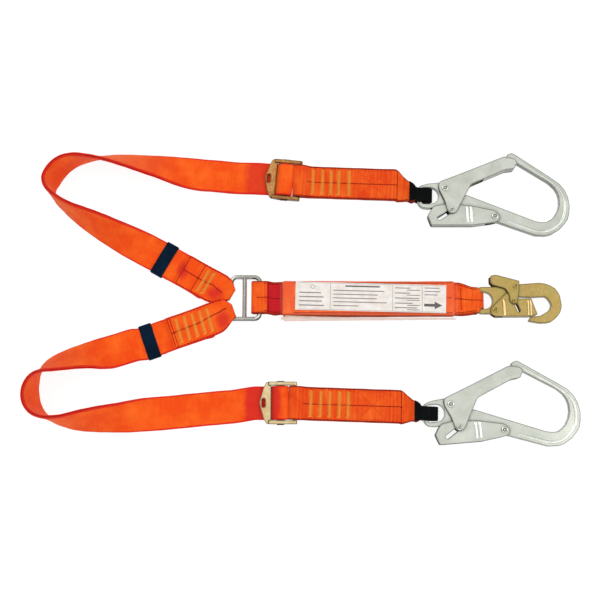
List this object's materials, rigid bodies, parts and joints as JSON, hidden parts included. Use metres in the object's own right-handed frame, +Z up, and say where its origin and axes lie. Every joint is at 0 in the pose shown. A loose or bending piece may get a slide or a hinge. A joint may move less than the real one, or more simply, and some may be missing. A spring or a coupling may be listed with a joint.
{
  "type": "shock absorbing lanyard",
  "caption": "Shock absorbing lanyard laid flat: clear-sleeved energy absorber with a snap hook, and adjustable orange webbing legs ending in scaffold hooks.",
  "frame": {"origin": "middle of the laid-out lanyard, on the surface that it lies on", "axes": "+X from the leg loops towards the hooks, +Y across towards the upper leg, +Z up from the surface"},
  "size_m": [0.7406, 0.406, 0.0469],
  "materials": {
    "black_sleeve": "black woven wear sleeve",
    "bright_steel": "polished steel",
    "clear_sleeve": "clear flexible film",
    "label_white": "white printed film, print left blank",
    "navy_elastic": "dark navy knitted elastic",
    "orange_webbing": "woven orange polyester webbing",
    "silver_zinc": "silver zinc plated forged and stamped steel",
    "spring_steel": "spring steel wire",
    "tear_webbing": "folded orange tear webbing",
    "yellow_zinc": "yellow zinc plated steel"
  },
  "bodies": {
    "legs_and_link": {"link": "bright_steel", "upper_leg_webbing": "orange_webbing", "lower_leg_webbing": "orange_webbing", "upper_buckle_frame": "yellow_zinc", "lower_buckle_frame": "yellow_zinc"},
    "absorber": {"absorber_clear_sleeve": "clear_sleeve", "absorber_tear_webbing": "tear_webbing", "absorber_label": "label_white", "absorber_front_loop": "orange_webbing", "absorber_rear_loop": "orange_webbing"},
    "snap_hook": {"snap_hook_body": "yellow_zinc", "snap_hook_gate_rivet": "yellow_zinc", "snap_hook_lock_rivet": "yellow_zinc"},
    "snap_gate": {"snap_hook_gate": "yellow_zinc"},
    "snap_lock": {"snap_hook_lock_lever": "yellow_zinc", "snap_hook_lock_pin": "yellow_zinc"},
    "upper_keeper": {"upper_keeper": "navy_elastic"},
    "upper_slider": {"upper_buckle_slider_bar": "yellow_zinc"},
    "upper_strap": {"upper_hook_strap": "orange_webbing", "upper_wear_sleeve": "black_sleeve"},
    "upper_hook": {"upper_scaffold_hook_body": "silver_zinc", "upper_scaffold_hook_gate_rivet": "bright_steel", "upper_scaffold_hook_lever_rivet": "bright_steel", "upper_scaffold_hook_gate_spring": "spring_steel"},
    "upper_gate": {"upper_scaffold_hook_gate": "silver_zinc", "upper_scaffold_hook_gate_pin": "bright_steel"},
    "upper_lever": {"upper_scaffold_hook_lock_lever": "silver_zinc"},
    "lower_keeper": {"lower_keeper": "navy_elastic"},
    "lower_slider": {"lower_buckle_slider_bar": "yellow_zinc"},
    "lower_strap": {"lower_hook_strap": "orange_webbing", "lower_wear_sleeve": "black_sleeve"},
    "lower_hook": {"lower_scaffold_hook_body": "silver_zinc", "lower_scaffold_hook_gate_rivet": "bright_steel", "lower_scaffold_hook_lever_rivet": "bright_steel", "lower_scaffold_hook_gate_spring": "spring_steel"},
    "lower_gate": {"lower_scaffold_hook_gate": "silver_zinc", "lower_scaffold_hook_gate_pin": "bright_steel"},
    "lower_lever": {"lower_scaffold_hook_lock_lever": "silver_zinc"}
  },
  "joints": [
    {"name": "absorber_swing", "type": "hinge", "parent": "legs_and_link", "child": "absorber", "pos_m": [-0.05849, -0.00077, 0.0058], "axis": [0, -1, 0], "range_deg": [0, 45]},
    {"name": "snap_hook_swing", "type": "hinge", "parent": "absorber", "child": "snap_hook", "pos_m": [0.23141, -0.00647, 0.0093], "axis": [0, -1, 0], "range_deg": [0, 80]},
    {"name": "snap_gate_open", "type": "hinge", "parent": "snap_hook", "child": "snap_gate", "pos_m": [0.26111, -0.01957, 0.0093], "axis": [0, 0, 1], "range_deg": [0, 23], "stiffness_Nm_per_rad": 0.05},
    {"name": "snap_lock_press", "type": "hinge", "parent": "snap_hook", "child": "snap_lock", "pos_m": [0.28901, 0.01223, 0.0093], "axis": [0, 0, 1], "range_deg": [0, 12]},
    {"name": "upper_keeper_slide", "type": "slide", "parent": "legs_and_link", "child": "upper_keeper", "axis": [0.8695, -0.4939, 0], "range_m": [0, 0.008]},
    {"name": "upper_slider_grip", "type": "slide", "parent": "legs_and_link", "child": "upper_slider", "axis": [-0.9962, 0.0872, 0], "range_m": [0, 0.002]},
    {"name": "upper_strap_swing", "type": "hinge", "parent": "legs_and_link", "child": "upper_strap", "pos_m": [-0.00527, 0.16289, 0.0069], "axis": [-0.0872, -0.9962, 0], "range_deg": [0, 60]},
    {"name": "upper_hook_swing", "type": "hinge", "parent": "upper_strap", "child": "upper_hook", "pos_m": [0.16156, 0.14023, 0.01], "axis": [0, -1, 0], "range_deg": [0, 80]},
    {"name": "upper_gate_open", "type": "hinge", "parent": "upper_hook", "child": "upper_gate", "pos_m": [0.19631, 0.15023, 0.01], "axis": [0, 0, -1], "range_deg": [0, 30], "stiffness_Nm_per_rad": 0.1},
    {"name": "upper_lever_squeeze", "type": "hinge", "parent": "upper_hook", "child": "upper_lever", "pos_m": [0.26421, 0.11073, 0.01], "axis": [0, 0, -1], "range_deg": [0, 8.5]},
    {"name": "lower_keeper_slide", "type": "slide", "parent": "legs_and_link", "child": "lower_keeper", "axis": [0.9426, 0.3338, 0], "range_m": [0, 0.008]},
    {"name": "lower_slider_grip", "type": "slide", "parent": "legs_and_link", "child": "lower_slider", "axis": [-1, 0, 0], "range_m": [0, 0.002]},
    {"name": "lower_strap_swing", "type": "hinge", "parent": "legs_and_link", "child": "lower_strap", "pos_m": [-0.01069, -0.14497, 0.0069], "axis": [0, -1, 0], "range_deg": [0, 60]},
    {"name": "lower_hook_swing", "type": "hinge", "parent": "lower_strap", "child": "lower_hook", "pos_m": [0.16331, -0.16035, 0.01], "axis": [0.0837, -0.9965, 0], "range_deg": [0, 80]},
    {"name": "lower_gate_open", "type": "hinge", "parent": "lower_hook", "child": "lower_gate", "pos_m": [0.19711, -0.14747, 0.01], "axis": [0, 0, -1], "range_deg": [0, 30], "stiffness_Nm_per_rad": 0.1},
    {"name": "lower_lever_squeeze", "type": "hinge", "parent": "lower_hook", "child": "lower_lever", "pos_m": [0.26807, -0.18115, 0.01], "axis": [0, 0, -1], "range_deg": [0, 8.5]}
  ],
  "couplings": [
    {"joint": "snap_lock_press", "follows": "snap_gate_open", "ratio": 0.52174},
    {"joint": "upper_lever_squeeze", "follows": "upper_gate_open", "ratio": 0.28333},
    {"joint": "lower_lever_squeeze", "follows": "lower_gate_open", "ratio": 0.28333}
  ]
}
